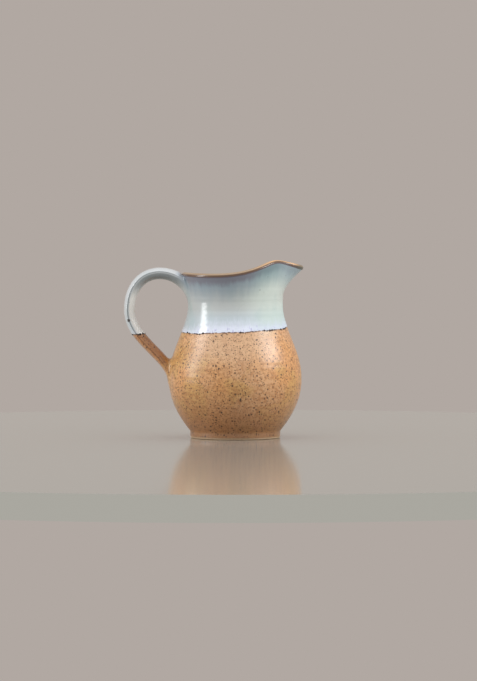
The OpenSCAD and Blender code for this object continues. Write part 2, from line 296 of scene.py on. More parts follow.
clay_rows = np.concatenate([
    ring_point(around, under[:, 0], under[:, 1]),
    wall(around, up, CLAY_OUT),
    wall(around, collar_z, CLAY_OUT),
    lip(around, over, WALL_T / 2),
    wall(around, collar_z[:, ::-1], CLAY_IN),
    wall(around, inside, CLAY_IN),
    ring_point(around, bend_r, bend_z),
    ring_point(around, np.linspace(bend_r[-1], CAP_R, FLOOR_ROWS + 1)[1:], FLOOR_Z),
], axis=1)
jug_clay = skin("jug_clay", clay_rows, capped=True, sharp=[0, clay_rows.shape[1] - 1])
jug_clay.data.materials.append(clay)
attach(jug_clay, "root")
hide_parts("body")

# The handle: a strap of the same clay, pulled by hand to a taper with a domed back and two crisp
# edges. Its thick end was set under the lip, it was bent over in an arch, and its thin end was
# pressed and smeared on to the belly.
ROOT_AT = np.array([WAIST_R - WALL_T / 2, RIM_Z + BACK_RISE - 12.0])
ROOT_ANGLE = math.radians(40)
ROOT_WAY = np.array([math.cos(ROOT_ANGLE), math.sin(ROOT_ANGLE)])
ROOT_DEPTH = 6.0
T_ROOT, T_TAIL = 10.6, 8.8
W_ROOT, W_TAIL = 23.0, 17.0
DOME_ROOT, DOME_TAIL = 4.0, 1.8
ROOT_FLARE, ROOT_SPREAD, TAIL_SPREAD = 2.7, 6.0, 6.0
ROOT_SHARE, TAIL_SHARE = 0.12, 0.2
SIDE_POWER_SHARE = 0.72
OUT_AT = np.array([WAIST_R + 49.5 + (T_ROOT + T_TAIL) / 4, BELLY_Z + 64.8])
TAIL_AT = np.array([BELLY_R + 1.2 - T_TAIL / 2, BELLY_Z + 1.0])
TAIL_ANGLE = math.radians(85)
TAIL_WAY = np.array([-math.cos(TAIL_ANGLE), -math.sin(TAIL_ANGLE)])
ROOT_PULL, UPPER_PULL, LOWER_PULL, TAIL_PULL = 35.7, 33.5, 27.0, 20.2
TAIL_RUN_OUT = 7.5
TAIL_SINK = 5.0
EDGE_ROUND = 0.45
EDGE_STEPS = 7
ROOT_RUN, TAIL_RUN = 0.03, 0.05
BACK_POINTS, SIDE_POINTS = 61, 160
STRANDS = 80
RINGS = 220

upper_curve = [ROOT_AT, ROOT_AT + ROOT_PULL * ROOT_WAY, OUT_AT + [0, UPPER_PULL], OUT_AT]
lower_curve = [OUT_AT, OUT_AT - [0, LOWER_PULL], TAIL_AT - TAIL_PULL * TAIL_WAY, TAIL_AT]


def along(curve, t):
    """A point of a bent line and the way it runs there."""
    a, b, c, d = curve
    at = (1 - t) ** 3 * a + 3 * t * (1 - t) ** 2 * b + 3 * t ** 2 * (1 - t) * c + t ** 3 * d
    way = (1 - t) ** 2 * (b - a) + 2 * t * (1 - t) * (c - b) + t ** 2 * (d - c)
    return at, way / np.linalg.norm(way)


def arm_line(s):
    """The handle's centre line at share s of its length, with a run into the wall at each end."""
    if s < 0:
        return ROOT_AT + s / ROOT_RUN * ROOT_DEPTH * ROOT_WAY, ROOT_WAY
    if s <= 0.5:
        return along(upper_curve, 2 * s)
    if s <= 1:
        return along(lower_curve, 2 * s - 1)
    past = (s - 1) / TAIL_RUN
    sunk = TAIL_AT + past * TAIL_RUN_OUT * TAIL_WAY - np.array([TAIL_SINK * past ** 2, 0])
    way = TAIL_RUN_OUT * TAIL_WAY - np.array([2 * TAIL_SINK * past, 0])
    return sunk, way / np.linalg.norm(way)


def strap(s, grow):
    """The handle's section at share s of its length, grown by a coat, as points across and back."""
    k = min(max(s, 0), 1)
    half = (T_ROOT + (T_TAIL - T_ROOT) * k) / 2 + grow
    root = max(0, 1 - k / ROOT_SHARE) ** 2
    tail = max(0, 1 - (1 - k) / TAIL_SHARE) ** 2
    wide = W_ROOT + (W_TAIL - W_ROOT) * k + ROOT_SPREAD * root + TAIL_SPREAD * tail
    wide = (wide + 2 * grow) / 2 * (1 - 0.5 * max(0, (s - 1) / TAIL_RUN) ** 2)
    front = half + ROOT_FLARE * root
    dome = DOME_ROOT + (DOME_TAIL - DOME_ROOT) * k
    x = np.linspace(1, -1, BACK_POINTS)
    back = np.stack([x * wide, half - dome * x ** 2], -1)
    f = np.linspace(0, np.pi, SIDE_POINTS + 2)[1:-1]
    side = np.stack([-np.sign(np.cos(f)) * np.abs(np.cos(f)) ** SIDE_POWER_SHARE * wide,
                     half - dome - (half + front - dome) * np.sin(f) ** SIDE_POWER_SHARE], -1)
    outline = np.concatenate([back, side])
    closed = np.concatenate([outline, outline[:1]])
    far = np.concatenate([[0], np.cumsum(np.linalg.norm(np.diff(closed, axis=0), axis=1))])
    rounded = np.zeros((STRANDS, 2))
    at = np.arange(STRANDS) / STRANDS * far[-1]
    for shift in np.linspace(-1, 1, EDGE_STEPS):
        where = (at + shift * (EDGE_ROUND + grow)) % far[-1]
        rounded += np.stack([np.interp(where, far, closed[:, c]) for c in (0, 1)], -1) / EDGE_STEPS
    return rounded


def arm_table(grow):
    """Points of the handle, grown by a coat, ring by ring from inside the neck to inside the belly."""
    table = []
    for s in arm_shares:
        at, way = arm_line(s)
        cut = strap(s, grow)
        table.append(np.stack([-(at[0] - cut[:, 1] * way[1]), cut[:, 0], at[1] + cut[:, 1] * way[0]], -1))
    return np.array(table)


arm_shares = np.linspace(-ROOT_RUN, 1 + TAIL_RUN, RINGS)
arm_glazed = arm_table(GLAZE_T)


def on_wall(a, z, depth=0.0):
    """A point of the wall, or of the outer half of the lip over it, at angle a and height z."""
    top = THROAT_Z + collar_height(a)
    lean = collar(a, np.ones_like(a))[1]
    f = lean + np.arcsin(np.clip((z - top) / LIP_R - np.sin(lean), -1, 1))
    return np.where((z > top)[..., None], lip(a, f, LIP_R - depth), wall(a, np.minimum(z, top), depth))


def stands_out(points):
    """How far points stand out from the wall, level with them."""
    a = np.arctan2(points[..., 1], points[..., 0])
    a = np.where(a < 0, a + 2 * np.pi, a)
    level = on_wall(a, points[..., 2])
    return np.hypot(points[..., 0], points[..., 1]) - np.linalg.norm(level[..., :2], axis=-1)


def arm_at(where):
    """Points of the handle at ring numbers where[row, strand], between the rings of its table."""
    low = np.clip(np.floor(where).astype(int), 0, RINGS - 2)
    rest = (where - low)[..., None]
    strand = np.arange(STRANDS)
    return arm_glazed[low, strand] * (1 - rest) + arm_glazed[low + 1, strand] * rest


# where handle and wall meet, a wet finger was run along the joint, so every line of the strap leaves
# its straight way a little before the wall and swings out on to it
ROOT_TOP_BEND, ROOT_SIDE_BEND, ROOT_LOW_BEND = 3.0, 5.5, 9.0
TAIL_TOP_BEND, TAIL_SIDE_BEND, TAIL_LOW_BEND = 7.0, 4.5, 6.0
BEND_PULL = 0.6
BEND_ROWS, STRAP_ROWS = 12, 130
JOINT_TOP = RIM_Z + BACK_RISE - 1.3
SOFTENINGS = 3
NEAR_FOOT = 0.5
PLUG_SHARES = (0.05, 0.5, 0.9)

arm_out = stands_out(arm_glazed)
arm_far = np.concatenate([np.zeros((1, STRANDS)),
                          np.cumsum(np.linalg.norm(np.diff(arm_glazed, axis=0), axis=2), axis=0)])


def joint(rings, top_bend, side_bend, low_bend):
    """Bends of all strands on to the wall: ring numbers where they begin, bent lines, and their foot."""
    enter = np.zeros(STRANDS)
    for i in range(STRANDS):
        n = next((n for n in range(1, len(rings)) if arm_out[rings[n], i] < 0), len(rings) - 1)
        before, after = arm_out[rings[n - 1], i], arm_out[rings[n], i]
        enter[i] = rings[n - 1] + (rings[n] - rings[n - 1]) * np.clip(before / (before - after), 0, 1)
    met = arm_at(enter[None])[0]
    a = np.arctan2(met[:, 1], met[:, 0]) % (2 * np.pi)
    spread = np.hypot(met[:, 0], met[:, 1]).mean()
    loop = np.stack([a * spread, met[:, 2]], -1)
    for _ in range(SOFTENINGS):
        loop = (np.roll(loop, 1, 0) + 2 * loop + np.roll(loop, -1, 0)) / 4
    tangent = np.roll(loop, -2, 0) - np.roll(loop, 2, 0)
    away = np.stack([tangent[:, 1], -tangent[:, 0]], -1)
    away /= np.linalg.norm(away, axis=1)[:, None]
    away *= np.sign(np.sum(away * (loop - loop.mean(0)), axis=1).sum())
    length = side_bend + np.maximum(away[:, 1], 0) ** 2 * (top_bend - side_bend)
    length += np.maximum(-away[:, 1], 0) ** 2 * (low_bend - side_bend)
    foot_a = (loop[:, 0] + away[:, 0] * length) / spread
    foot_z = np.minimum(loop[:, 1] + away[:, 1] * length, JOINT_TOP)
    foot = on_wall(foot_a, foot_z)
    back = rings[0] < rings[-1]
    begin = np.zeros(STRANDS)
    way = np.zeros((STRANDS, 3))
    for i in range(STRANDS):
        at = np.interp(enter[i], np.arange(RINGS), arm_far[:, i])
        begin[i] = np.interp(at - length[i] if back else at + length[i], arm_far[:, i], np.arange(RINGS))
        step = arm_at(np.full((2, STRANDS), begin[i]) + [[0], [1 if back else -1]])[:, i]
        way[i] = (step[1] - step[0]) / np.linalg.norm(step[1] - step[0])
    start = arm_at(begin[None])[0]
    near = on_wall(foot_a - away[:, 0] * NEAR_FOOT / spread, foot_z - away[:, 1] * NEAR_FOOT)
    inward = (near - foot) / np.linalg.norm(near - foot, axis=1)[:, None]
    reach = np.minimum(length, np.linalg.norm(met - foot, axis=1))[:, None]
    lines = np.stack([start, start + way * length[:, None] * BEND_PULL,
                      foot + inward * reach * BEND_PULL, foot])
    return begin, lines, foot_a, foot_z


middle = RINGS // 2
root_ring, root_bend, root_a, root_z = joint(np.arange(middle, -1, -1), ROOT_TOP_BEND, ROOT_SIDE_BEND,
                                             ROOT_LOW_BEND)
tail_ring, tail_bend, tail_a, tail_z = joint(np.arange(middle, RINGS), TAIL_TOP_BEND, TAIL_SIDE_BEND,
                                             TAIL_LOW_BEND)


def bent(lines, t):
    """Points of bent lines, one a strand, at shares t of their length."""
    t = t[..., None]
    return ((1 - t) ** 3 * lines[0] + 3 * t * (1 - t) ** 2 * lines[1] + 3 * t ** 2 * (1 - t) * lines[2]
            + t ** 3 * lines[3])


def arm_surface(v):
    """Points of the glazed handle at v[row, strand]: 0 on the neck, 1 to 2 the strap, 3 on the belly."""
    strap_part = arm_at(root_ring + (tail_ring - root_ring) * np.clip(v - 1, 0, 1))
    points = np.where((v > 2)[..., None], bent(tail_bend, np.clip(v - 2, 0, 1)), strap_part)
    return np.where((v < 1)[..., None], bent(root_bend, np.clip(1 - v, 0, 1)), points)


def arm_normals(points):
    """Outward directions over points[row, strand]."""
    down = np.gradient(points, axis=0)
    across = np.roll(points, -1, 1) - np.roll(points, 1, 1)
    n = np.cross(across, down)
    n /= np.maximum(np.linalg.norm(n, axis=-1), 1e-9)[..., None]
    middle_line = points.mean(1, keepdims=True)
    return n * np.sign(np.sum(n * (points - middle_line)))


def plug(foot_a, foot_z, share):
    """A ring of a joint's foot, drawn together to a share of its size, in the middle of the wall."""
    a = foot_a.mean() + (foot_a - foot_a.mean()) * share
    z = foot_z.mean() + (foot_z - foot_z.mean()) * share
    return on_wall(a, z, GLAZE_T + WALL_T / 2)[None]


arm_rows = np.concatenate([np.linspace(0, 1, BEND_ROWS), np.linspace(1, 2, STRAP_ROWS)[1:],
                           np.linspace(2, 3, BEND_ROWS)[1:]])
arm_grid = arm_surface(np.repeat(arm_rows[:, None], STRANDS, 1))
arm_grid = arm_grid - GLAZE_T * arm_normals(arm_grid)
arm_grid = np.concatenate([plug(root_a, root_z, share) for share in PLUG_SHARES] + [arm_grid]
                          + [plug(tail_a, tail_z, share) for share in PLUG_SHARES[::-1]])
handle_clay = skin("handle_clay", np.swapaxes(arm_grid, 0, 1)[::-1], capped=True)
handle_clay.data.materials.append(clay)
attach(handle_clay, "root")
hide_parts("handle")

# The joining slip: thin clay cream brushed between the scored wall and each end of the handle. It
# fired darker and closer than the clay, and the glaze hides it.
slip, slip_tree, slip_shader = material("joining_slip", 0.7)
slip_grain = add(slip_tree, "ShaderNodeGroup", node_tree=grain, Size=1500.0)
slip_base = blend(slip_tree, slip_grain.outputs["Height"], tone(128, 92, 66), tone(160, 122, 92))
surface(slip_tree, slip_shader, slip_base, 0.4, 0.0002, slip_grain.outputs["Height"])
for node_name in ("upper_slip", "lower_slip"):
    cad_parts[node_name].data.materials.clear()
    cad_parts[node_name].data.materials.append(slip)

# The glaze inside: the pale glaze was poured in, swirled and poured out again, so it covers floor
# and wall evenly and gathers a little in the curve of the floor.
LINER_IN = CLAY_IN + GLAZE_T
BAND = 0.3
COAT_COLUMNS = 400
circle = columns(COAT_COLUMNS)


def band_z(a):
    """Height on the wall at which the brown band of the lip begins."""
    return THROAT_Z + collar_height(a) - BAND


def sums(tree, how, first, second=0.0, third=0.0):
    """A sum done with values, such as ADD, SUBTRACT or POWER."""
    return add(tree, "ShaderNodeMath", operation=how, i0=first, i1=second, i2=third).outputs[0]


def times(tree, first, second):
    """Two values multiplied."""
    return sums(tree, "MULTIPLY", first, second)


def field(tree, name):
    """A value that the mesh carries at each point."""
    return add(tree, "ShaderNodeAttribute", attribute_name=name).outputs["Fac"]


def lay(tree, base, *washes):
    """Lays washes of colour over a base in turn, each given as its amount and its colour."""
    for amount, colour in washes:
        base = blend(tree, amount, base, colour)
    return base


# speckle: iron spots that bleed through a glaze, as masks of large round spots and small freckles
speckle, speckle_in, speckle_out = new_group(
    "speckle",
    [("Large", "NodeSocketFloat", 320.0), ("Small", "NodeSocketFloat", 900.0),
     ("Amount", "NodeSocketFloat", 0.5)],
    [("Spots", "NodeSocketFloat"), ("Freckles", "NodeSocketFloat"), ("Cloud", "NodeSocketFloat")])
speckle_place = object_place(speckle)
wobble = add(speckle, "ShaderNodeTexNoise", Vector=speckle_place, Scale=1400.0, Detail=2.0).outputs[1]
wobble = add(speckle, "ShaderNodeVectorMath", operation="SUBTRACT", i0=wobble, i1=(0.5, 0.5, 0.5))
wobble = add(speckle, "ShaderNodeVectorMath", operation="SCALE", i0=wobble.outputs[0], Scale=0.0008)
speckle_at = add(speckle, "ShaderNodeVectorMath", operation="ADD", i0=speckle_place,
                 i1=wobble.outputs[0]).outputs[0]
for scale_name, mask_name, smallest, span in (("Large", "Spots", 0.19, 0.3),
                                              ("Small", "Freckles", 0.26, 0.26)):
    cells = add(speckle, "ShaderNodeTexVoronoi", Vector=speckle_at, Scale=speckle_in[scale_name])
    chance = add(speckle, "ShaderNodeSeparateColor", i0=cells.outputs["Color"])
    size = sums(speckle, "MULTIPLY_ADD", sums(speckle, "POWER", chance.outputs[0], 3.0), span, smallest)
    kept = ramp(speckle, chance.outputs[1], sums(speckle, "SUBTRACT", 1.0, speckle_in["Amount"]),
                sums(speckle, "SUBTRACT", 1.02, speckle_in["Amount"]))
    spot = ramp(speckle, cells.outputs["Distance"], times(speckle, size, 0.5), size, 1, 0)
    speckle.links.new(times(speckle, spot, kept), speckle_out[mask_name])
speckle.links.new(noise(speckle, speckle_place, 45.0, 5, 0.6), speckle_out["Cloud"])

# runs: streaks that a running glaze leaves down a wall, wide and fine
runs, runs_in, runs_out = new_group(
    "runs", [("Width", "NodeSocketFloat", 260.0)],
    [("Wide", "NodeSocketFloat"), ("Fine", "NodeSocketFloat")])
runs_place = object_place(runs, (1, 1, 0.1))
runs.links.new(noise(runs, runs_place, runs_in["Width"], 3, 0.55), runs_out["Wide"])
fine_width = times(runs, runs_in["Width"], 3.4)
runs.links.new(noise(runs, runs_place, fine_width, 2), runs_out["Fine"])

liner, liner_tree, liner_shader = material("liner_glaze", 0.16, coat=0.5, coat_roughness=0.05)
liner_speckle = add(liner_tree, "ShaderNodeGroup", node_tree=speckle, Large=260.0, Small=700.0,
                    Amount=0.16).outputs
liner_runs = add(liner_tree, "ShaderNodeGroup", node_tree=runs, Width=150.0).outputs
liner_base = lay(
    liner_tree, tone(164, 178, 176),
    (liner_speckle["Cloud"], tone(192, 200, 193)),
    (ramp(liner_tree, liner_runs["Wide"], 0.45, 0.75, 0, 0.5), tone(208, 212, 212)),
    (times(liner_tree, liner_speckle["Spots"], 0.55), tone(120, 96, 74)),
    (ramp(liner_tree, field(liner_tree, "lip"), 9, 0, 0, 0.75), tone(128, 132, 146)))
surface(liner_tree, liner_shader, liner_base, 0.25, 0.0005, liner_speckle["Cloud"])

top_share = np.linspace(0, 1, 15)[1:]
top_z = THROAT_Z + (band_z(circle) - THROAT_Z) * top_share
floor_r = np.linspace(CAP_R, bend_r[-1], 14)[:-1]
liner_curve = FLOOR_CURVE - GLAZE_T
liner_bend_z = FLOOR_Z + GLAZE_T + liner_curve * (1 - np.cos(bend))
liner_bend_r = bend_r - GLAZE_T * np.sin(bend)
liner_rows = np.concatenate([
    ring_point(circle, floor_r, FLOOR_Z + GLAZE_T),
    ring_point(circle, liner_bend_r[::-1], liner_bend_z[::-1]),
    wall(circle, inside[::-1], LINER_IN),
    wall(circle, top_z, LINER_IN),
    wall(circle, top_z[:, ::-1], CLAY_IN),
    wall(circle, inside[::4], CLAY_IN),
    ring_point(circle, bend_r[::3], bend_z[::3]),
    ring_point(circle, np.array([20.0, CAP_R]), FLOOR_Z),
], axis=1)
jug_liner = skin("liner_coat", liner_rows[::-1], capped=True,
                 values={"lip": band_z(circle) - liner_rows[..., 2]})
jug_liner.data.materials.append(liner)
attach(jug_liner, "root")
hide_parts("liner_glaze")

# The tan coat: a satin glaze, thick with iron from the clay, brushed over the outside from the wiped
# foot up to the dip line, a tilted plane, as the jug was later dipped mouth down and a little askew.
# It is darker towards the foot and where it is thin on the handle's edges, and a painted sheen
# makes it paler and whiter below the dip line.
WIPED_Z = 1.8
DIP_Z = 101.2
DIP_SIDE = math.tan(math.radians(2.65))
DIP_FRONT = math.tan(math.radians(2.4)) / math.cos(math.radians(2.65))
WAVES = ((3, 0.22, 0.4), (7, 0.2, 2.1), (13, 0.13, 4.0), (29, 0.1, 1.3), (47, 0.06, 5.2))
RING_DEEP = 0.035
RING_WAVES = ((1.0, 1.13, 0.0), (0.7, 0.71, 1.4))
RINGS_LOW, RINGS_LOW_FADE = 12, 12
RINGS_HIGH, RINGS_HIGH_FADE = 147, 8
INNER_ROWS = 30


def dip_height(x, y):
    """Height of the dip line over a point of the plan, with the soft waves of the glaze's edge."""
    a = np.arctan2(y, x)
    wave = sum(size * np.sin(count * a + turn) for count, size, turn in WAVES)
    return DIP_Z + DIP_SIDE * x + DIP_FRONT * y + wave


def dip_line(a):
    """Height at which the wall crosses the dip line, at angles a, nearer with each pass."""
    z = np.full_like(a, DIP_Z)
    for _ in range(6):
        r = round_radius(z)
        z = dip_height(r * np.cos(a), r * np.sin(a))
    return z


def ripple(z):
    """The rings that the potter's fingers left, softened by the glaze."""
    soft = np.clip((z - RINGS_LOW) / RINGS_LOW_FADE, 0, 1)
    soft = soft * np.clip((RINGS_HIGH - z) / RINGS_HIGH_FADE, 0, 1)
    return RING_DEEP * soft * sum(size * np.sin(z / pitch + turn) for size, pitch, turn in RING_WAVES)


tan, tan_tree, tan_shader = material("speckled_glaze", 0.38, coat=0.6, coat_roughness=0.34)
tan_speckle = add(tan_tree, "ShaderNodeGroup", node_tree=speckle, Large=400.0, Small=620.0,
                  Amount=0.92).outputs
tan_grain = add(tan_tree, "ShaderNodeGroup", node_tree=grain, Size=1500.0).outputs["Height"]
tan_place = object_place(tan_tree)
tan_along, _, tan_up = add(tan_tree, "ShaderNodeSeparateXYZ", Vector=tan_place).outputs
tan_dip = field(tan_tree, "dip")
tan_strap = field(tan_tree, "strap")
# painted sheen: the upper belly made paler and whiter from 14 to 38 mm below the dip line, fading at the
# sides and off the handle's strap
tan_painted_sheen = times(tan_tree, ramp(tan_tree, tan_dip, -38, -14, 0, 0.42),
                  ramp(tan_tree, tan_along, 0.042, 0.018))
tan_painted_sheen = times(tan_tree, tan_painted_sheen, ramp(tan_tree, tan_along, -0.046, -0.016))
tan_painted_sheen = times(tan_tree, tan_painted_sheen, ramp(tan_tree, tan_strap, 0.5, 0))
tan_line = times(tan_tree, ramp(tan_tree, tan_dip, -1.3, -0.1),
                 ramp(tan_tree, noise(tan_tree, tan_place, 330, 2), 0.42, 0.56, 0.15, 1))
tan_base = lay(
    tan_tree, tone(222, 162, 100),
    (ramp(tan_tree, noise(tan_tree, tan_place, 22.0), 0.35, 0.65), tone(222, 174, 128)),
    (ramp(tan_tree, noise(tan_tree, tan_place, 34.0, 2), 0.5, 0.62, 0, 0.6), tone(208, 164, 92)),
    (ramp(tan_tree, noise(tan_tree, tan_place, 380.0, 3, 0.6), 0.42, 0.64, 0, 0.7), tone(176, 118, 68)),
    (ramp(tan_tree, tan_speckle["Cloud"], 0.48, 0.75, 0, 0.5), tone(190, 128, 74)),
    # darker towards the foot, and darker still in a narrow band just above it
    (ramp(tan_tree, tan_up, 0.06, 0.008, 0, 0.6), tone(164, 110, 72)),
    (ramp(tan_tree, tan_up, 0.008, 0.0055, 0, 0.4), tone(124, 94, 64)),
    (tan_painted_sheen, tone(226, 194, 160)),
    (ramp(tan_tree, tan_strap, 0, 1, 0, 0.45), tone(180, 112, 60)),
    (times(tan_tree, field(tan_tree, "side"), 0.4), tone(124, 76, 42)),
    (ramp(tan_tree, field(tan_tree, "edge"), 0.2, 1, 0, 0.7), tone(104, 62, 38)),
    (times(tan_tree, tan_speckle["Freckles"], 0.88), tone(92, 56, 32)),
    (times(tan_tree, tan_speckle["Spots"], 0.96), tone(52, 34, 24)),
    (tan_line, tone(112, 74, 50)))
tan_lumps = sums(tan_tree, "ADD", tan_grain, times(tan_tree, tan_speckle["Spots"], -0.7))
surface(tan_tree, tan_shader, tan_base, 0.3, 0.0002, tan_lumps)
tan_tree.links.new(ramp(tan_tree, tan_speckle["Cloud"], 0.3, 0.7, 0.34, 0.44),
                   tan_shader.inputs["Roughness"])

# rows crowd together towards the dip line
line_z = dip_line(circle)
low_share = 1 - np.concatenate([np.linspace(1, 0.06, 90), np.geomspace(0.055, 0.001, 12), [0]])
low_z = WIPED_Z + (line_z - WIPED_Z) * low_share
inner_share = np.linspace(1, 0, INNER_ROWS)
inner_z = WIPED_Z + (line_z - WIPED_Z) * inner_share
tan_rows = np.concatenate([wall(circle, low_z, -ripple(low_z)), wall(circle, inner_z, CLAY_OUT)], axis=1)
count = len(low_share)
belly_coat = skin("belly_coat", tan_rows, sharp=[0, count - 1, count, count + INNER_ROWS - 1],
                  values={"dip": np.concatenate([low_z, inner_z], axis=1) - line_z})
belly_coat.data.materials.append(tan)
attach(belly_coat, "root")
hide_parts("belly_glaze")

# The pale coat: a glossy glaze that moved in the fire. It is grey-green over the neck, mauve and blue
# in streaks under the lip, and gathers in a fat, milky, lavender-streaked roll at the dip line, with
# a thin broken line of brown where it ends. Low on the spout's side it fired matt.
FAT_T = 0.22
FAT_RISE = 0.8
FAT_FALL, FAT_FALL_POWER = 5.0, 1.4
BLOT_AT = (-0.0991, -0.0095, 0.1094)


def fat(h):
    """How far the pale glaze stands proud at a height h above its edge."""
    h = np.maximum(h, 0)
    fall = np.exp(-(np.maximum(h - FAT_RISE, 0) / FAT_FALL) ** FAT_FALL_POWER)
    return FAT_T * np.sqrt(np.minimum(h / FAT_RISE, 1)) * fall


pale, pale_tree, pale_shader = material("running_glaze", 0.2, coat=0.5, coat_roughness=0.14)
pale_speckle = add(pale_tree, "ShaderNodeGroup", node_tree=speckle, Large=300.0, Small=560.0,
                   Amount=0.03).outputs
pale_wide, pale_fine = add(pale_tree, "ShaderNodeGroup", node_tree=runs, Width=210.0).outputs
pale_dip = field(pale_tree, "dip")
pale_lip = field(pale_tree, "lip")
pale_strap = field(pale_tree, "strap")
pale_side = field(pale_tree, "side")
pale_place = object_place(pale_tree)
pale_along, _, pale_up = add(pale_tree, "ShaderNodeSeparateXYZ", Vector=pale_place).outputs
pale_front = ramp(pale_tree, pale_along, 0.008, 0.03)
pale_left = ramp(pale_tree, pale_along, -0.02, -0.042)
pale_tip = ramp(pale_tree, pale_along, 0.036, 0.05)

# tones that change from the handle's side to the spout's
sky_tone = blend(pale_tree, pale_front, tone(196, 212, 222), tone(184, 203, 200))
blue_tone = lay(pale_tree, tone(138, 153, 164), (pale_front, tone(132, 155, 159)),
                (pale_tip, tone(164, 180, 186)))
mauve_tone = lay(pale_tree, tone(120, 118, 130), (pale_front, tone(116, 135, 141)),
                 (pale_tip, tone(150, 164, 172)))
milk_tone = blend(pale_tree, pale_front, tone(228, 233, 248), tone(204, 213, 228))

# where each tone lies, over the wall first
wash = noise(pale_tree, object_place(pale_tree, (1, 1, 0.5)), 48, 2)
middle_side = sums(pale_tree, "SUBTRACT", sums(pale_tree, "SUBTRACT", 1.0, pale_front), pale_left)
# painted light, partly a lighter glaze: the lower neck lightened in its middle, between the handle's side
# and the spout's
light = times(pale_tree, ramp(pale_tree, pale_dip, 34, 16, 0, 0.55), middle_side)
sky = times(pale_tree, ramp(pale_tree, pale_dip, 24, 11, 0, 0.6),
            sums(pale_tree, "MULTIPLY_ADD", pale_left, -0.4, 1.0))
streaked_lip = sums(pale_tree, "MULTIPLY_ADD", pale_wide, 8.0, pale_lip)
milk = sums(pale_tree, "MULTIPLY_ADD", pale_left, 5.0, pale_dip)
milk = sums(pale_tree, "MULTIPLY_ADD", pale_front, 3.0, milk)
milk = sums(pale_tree, "MULTIPLY_ADD", pale_wide, -7.0, milk)
milk = sums(pale_tree, "MULTIPLY_ADD", pale_fine, -9.0, milk)
violet = times(pale_tree, ramp(pale_tree, pale_fine, 0.56, 0.7), ramp(pale_tree, pale_dip, 9, 2))
# and then over the handle: dark at the edges and in spots, with a painted highlight on the domed back,
# painted light low on the side and painted shade on the side at the top of the arch
# painted highlight: the domed back of the strap whitened
painted_back_highlight = sums(pale_tree, "SUBTRACT", pale_strap, pale_side)
# painted light: the strap's side lightened below the top of the arch
painted_lit_side = times(pale_tree, pale_side, ramp(pale_tree, pale_up, 0.146, 0.128, 0, 0.92))
# painted shade: the strap's side darkened at the top of the arch
painted_arch_shade = times(pale_tree, pale_side, ramp(pale_tree, pale_up, 0.128, 0.152, 0, 0.75))
brown_end = times(pale_tree, ramp(pale_tree, pale_dip, 0.75, 0.15),
                  ramp(pale_tree, noise(pale_tree, pale_place, 330, 2), 0.42, 0.56, 0.1, 1))
blot = add(pale_tree, "ShaderNodeVectorMath", operation="DISTANCE", i0=pale_place, i1=BLOT_AT)
blot = sums(pale_tree, "MULTIPLY_ADD", noise(pale_tree, pale_place, 900, 2), 0.0012,
            blot.outputs["Value"])
burnt = sums(pale_tree, "ADD", pale_lip, pale_speckle["Cloud"])
pale_base = lay(
    pale_tree, tone(170, 176, 177),
    (pale_speckle["Cloud"], tone(188, 192, 189)),
    # lighter towards the spout's side: partly a paler glaze, partly a painted reflection of the right-hand
    # lamp
    (ramp(pale_tree, pale_along, -0.012, 0.026, 0, 0.85), tone(204, 214, 205)),
    (ramp(pale_tree, wash, 0.5, 0.68, 0, 0.4), tone(150, 176, 174)),
    # painted light over the middle of the lower neck
    (light, tone(212, 216, 214)),
    (sky, sky_tone),
    (ramp(pale_tree, streaked_lip, 29, 10, 0, 0.85), blue_tone),
    (ramp(pale_tree, streaked_lip, 13, 6.5, 0, 0.85), mauve_tone),
    (ramp(pale_tree, milk, 7.0, -7.0, 0, 0.95), milk_tone),
    (times(pale_tree, violet, 0.6), tone(164, 160, 204)),
    # painted highlight on the back, then painted light and painted shade on the side
    (times(pale_tree, painted_back_highlight, 0.55), tone(212, 215, 218)),
    (painted_lit_side, tone(234, 231, 225)),
    (painted_arch_shade, tone(112, 117, 120)),
    (ramp(pale_tree, field(pale_tree, "edge"), 0.25, 1, 0, 0.75), tone(96, 103, 104)),
    (ramp(pale_tree, field(pale_tree, "pool"), 0.15, 1, 0, 0.7), tone(86, 110, 120)),
    (times(pale_tree, pale_speckle["Spots"], 0.6), tone(92, 84, 76)),
    (brown_end, tone(96, 70, 54)),
    (ramp(pale_tree, blot, 0.0026, 0.0017, 0, 0.92), tone(58, 50, 48)),
    (ramp(pale_tree, burnt, 0.9, -0.6), tone(92, 70, 62)))
surface(pale_tree, pale_shader, pale_base, 0.12, 0.0008, noise(pale_tree, pale_place, 70, 2))
matt = times(pale_tree, ramp(pale_tree, pale_dip, 32, 17), ramp(pale_tree, pale_along, -0.004, 0.016))
pale_tree.links.new(ramp(pale_tree, matt, 0, 1, 0.2, 0.6), pale_shader.inputs["Roughness"])
pale_tree.links.new(ramp(pale_tree, matt, 0, 1, 0.5, 0.04), pale_shader.inputs["Coat Weight"])

high_share = np.concatenate([[0], np.geomspace(0.002, 0.12, 22), np.linspace(0.14, 1, 78)])
high_z = line_z + (band_z(circle) - line_z) * high_share
pale_outer = wall(circle, high_z, -fat(high_z - line_z) - ripple(high_z))
back_z = line_z + (band_z(circle) - line_z) * inner_share
pale_rows = np.concatenate([pale_outer, wall(circle, back_z, CLAY_OUT)], axis=1)
pale_heights = np.concatenate([high_z, back_z], axis=1)
count = len(high_share)
neck_coat = skin("neck_coat", pale_rows, sharp=[0, count - 1, count, count + INNER_ROWS - 1],
                 values={"dip": pale_heights - line_z, "lip": band_z(circle) - pale_heights})
neck_coat.data.materials.append(pale)
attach(neck_coat, "root")
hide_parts("neck_glaze")

# The lip's band: on the edge the glaze ran thin and the iron in it burnt to brown, honey-coloured
# on top, partly a painted highlight there, darker below on the outside and almost olive on the tip of
# the spout.
BAND_ROWS, OVER_ROWS, BACK_ROWS = 7, 25, 13

